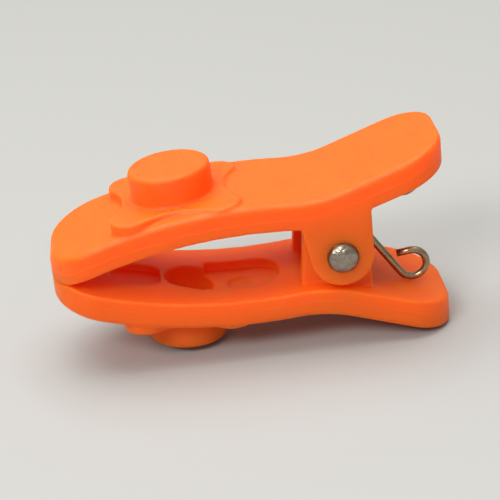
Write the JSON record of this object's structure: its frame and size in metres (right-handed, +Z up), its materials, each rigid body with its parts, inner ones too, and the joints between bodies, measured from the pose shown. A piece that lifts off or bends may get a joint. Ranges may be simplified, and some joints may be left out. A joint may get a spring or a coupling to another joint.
{
  "type": "spring clamp",
  "caption": "Miniature plastic spring clamp: two bowed jaws with coupling studs, handles, a riveted hinge and a steel torsion spring.",
  "frame": {"origin": "middle of the box, on the level of the lowest points, which are the end of the lower handle", "axes": "+X from the jaw tips to the handles, +Y along the hinge rivet, +Z up, out of the upper stud; the jaws are closed and their middle plane is level"},
  "size_m": [0.0234, 0.0092, 0.0121],
  "materials": {
    "lever_plastic": "satin injection-moulded orange plastic",
    "rivet_steel": "peened steel, dull",
    "spring_steel": "drawn spring wire, dark bronze-grey"
  },
  "bodies": {
    "lower": {"lower_lever": "lever_plastic", "hinge_rivet": "rivet_steel", "torsion_spring": "spring_steel"},
    "upper": {"upper_lever": "lever_plastic"}
  },
  "joints": [
    {"name": "hinge", "type": "hinge", "parent": "lower", "child": "upper", "pos_m": [0.00525, 0, 0.00604], "axis": [0, 1, 0], "range_deg": [0, 45], "stiffness_Nm_per_rad": 0.011, "deforming": ["torsion_spring"]}
  ]
}
